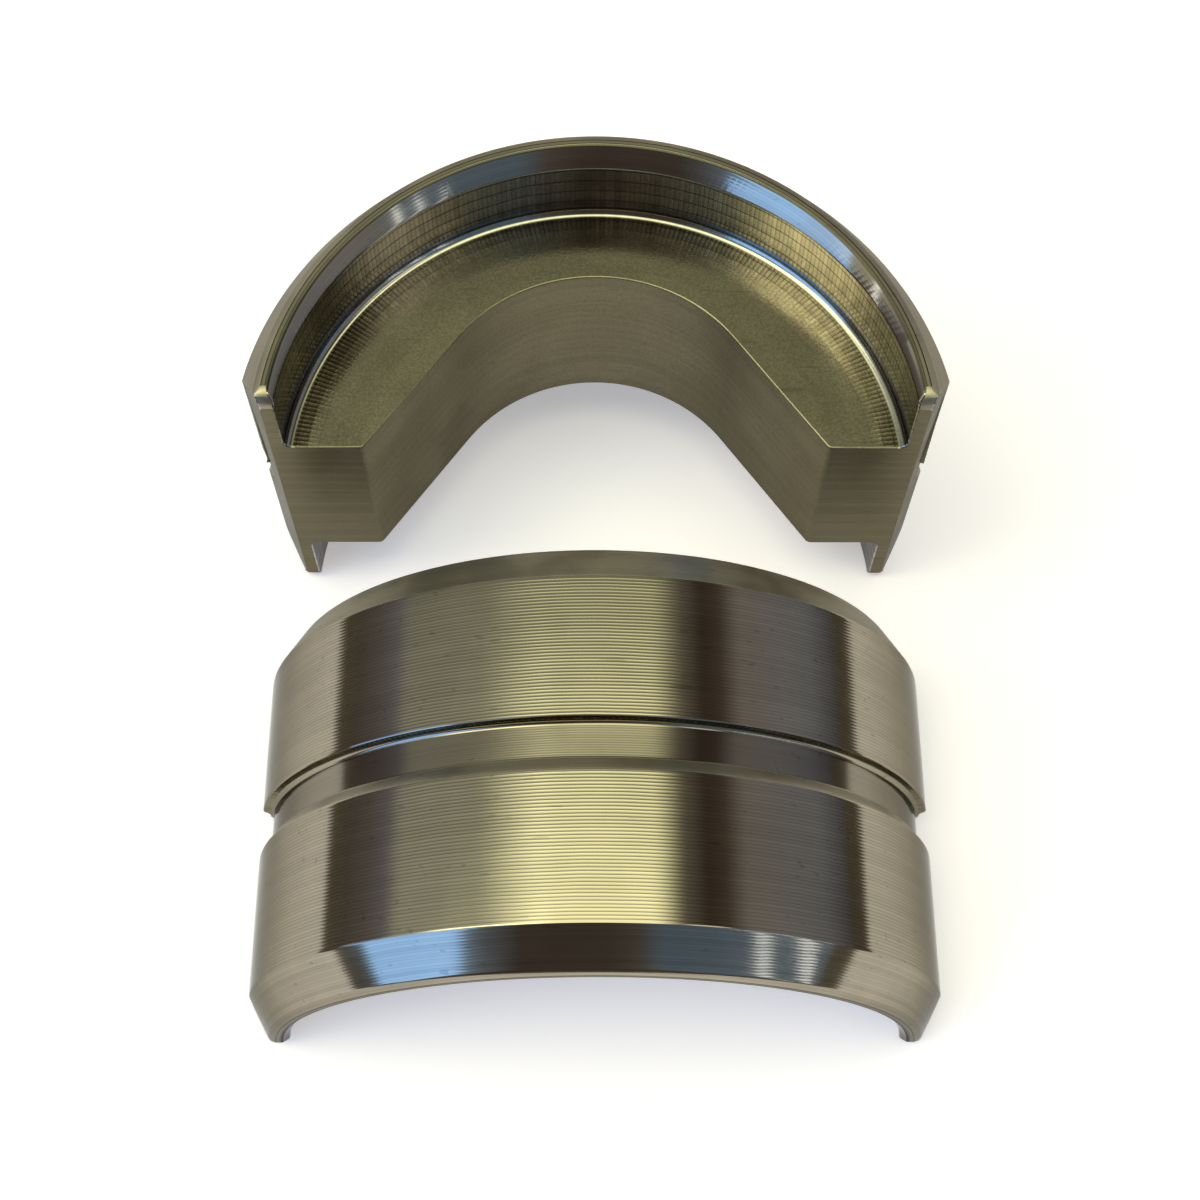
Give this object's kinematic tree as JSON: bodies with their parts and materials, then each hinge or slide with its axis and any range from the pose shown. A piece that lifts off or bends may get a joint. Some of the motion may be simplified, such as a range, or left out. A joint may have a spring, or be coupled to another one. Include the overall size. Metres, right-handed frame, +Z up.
{
  "type": "crimping die",
  "caption": "Half-round steel crimping die in two mating halves, each with a turned seat, a retaining groove, hollowed ends and a flared crimp cavity.",
  "frame": {"origin": "centre of the bounding box of both halves at the level of the table they rest on", "axes": "+Z up, +Y from the lying lower half toward the standing upper half, +X to the right seen from the front"},
  "size_m": [0.0564, 0.0692, 0.0333],
  "materials": {
    "upper_machined_steel": "bright milled steel",
    "lower_machined_steel": "bright turned steel with feed lines"
  },
  "bodies": {
    "upper_half": {"upper_die_half": "upper_machined_steel"},
    "lower_half": {"lower_die_half": "lower_machined_steel"}
  },
  "joints": [
    {"name": "ram_slide", "type": "slide", "parent": "upper_half", "child": "lower_half", "axis": [0, 0, 1], "range_m": [0, 0.042]}
  ]
}
